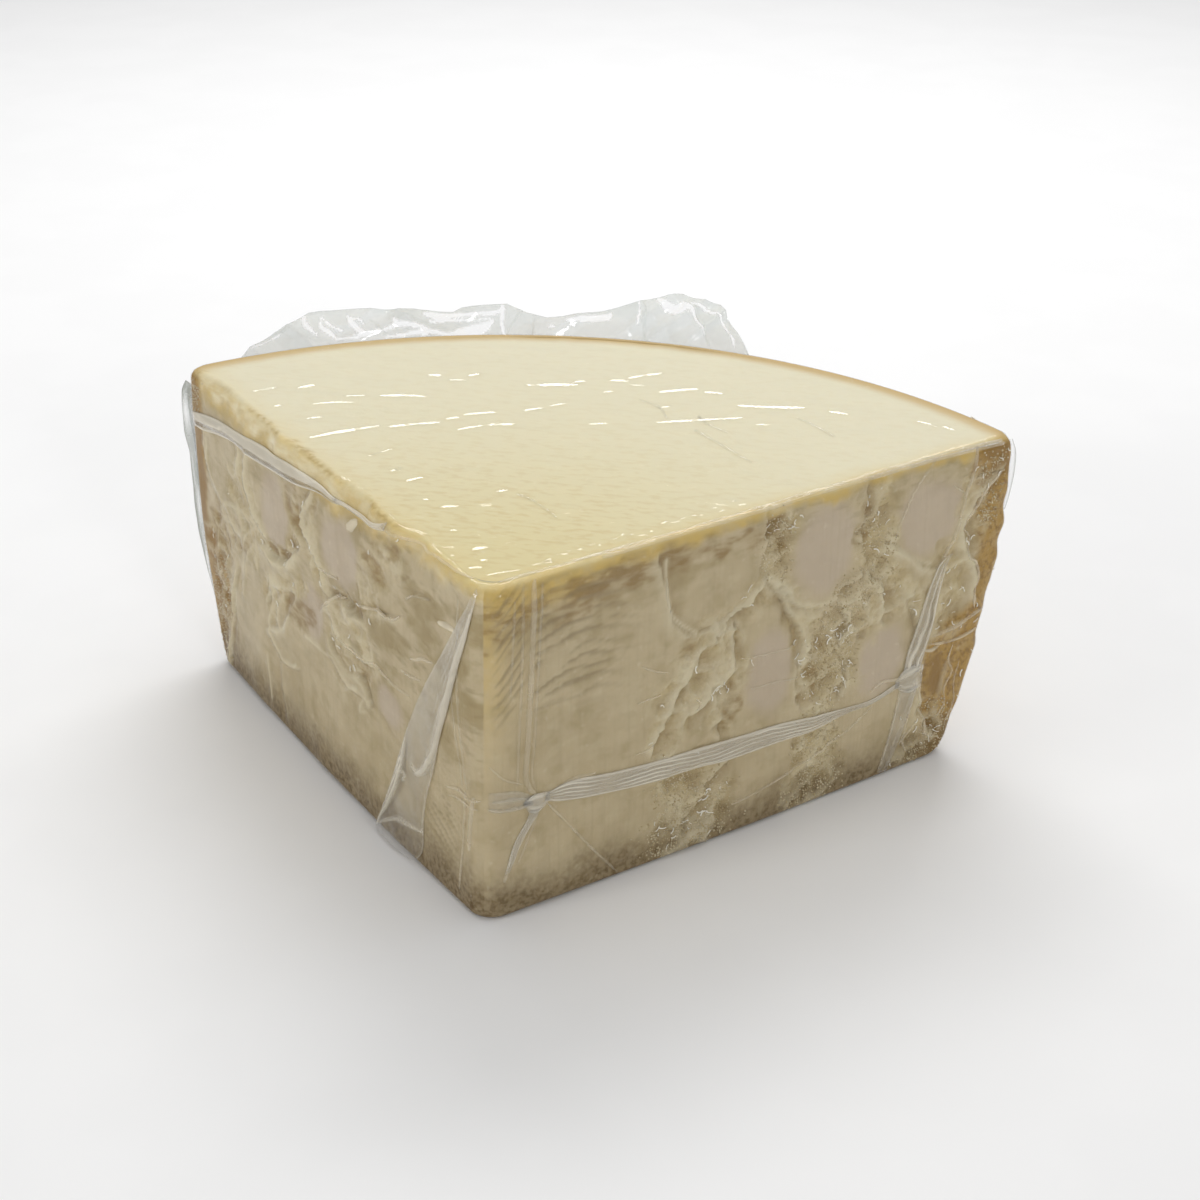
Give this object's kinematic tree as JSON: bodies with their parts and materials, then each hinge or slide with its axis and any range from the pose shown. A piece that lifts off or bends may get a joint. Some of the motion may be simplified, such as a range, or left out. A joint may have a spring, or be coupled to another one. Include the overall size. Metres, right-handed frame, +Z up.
{
  "type": "vacuum-packed parmesan chunk",
  "caption": "Quarter wedge of a half-height wheel of hard cheese with its rind, sealed tight in a clear vacuum bag whose closed end stands up behind the rind.",
  "frame": {"origin": "on the flat base, on the wedge's middle line, 115 mm behind the tip", "axes": "+Y from the tip to the middle of the rind, +Z up through the sawn top face, +X across the wedge towards the right-hand face seen from the tip"},
  "size_m": [0.2998, 0.2153, 0.1316],
  "materials": {
    "cheese": "pale straw-coloured hard cheese with a tan rind, under tight clear film",
    "clear_film": "thin clear glossy vacuum film with creases"
  },
  "bodies": {
    "root": {"cheese_in_vacuum_bag": "cheese"}
  },
  "joints": []
}
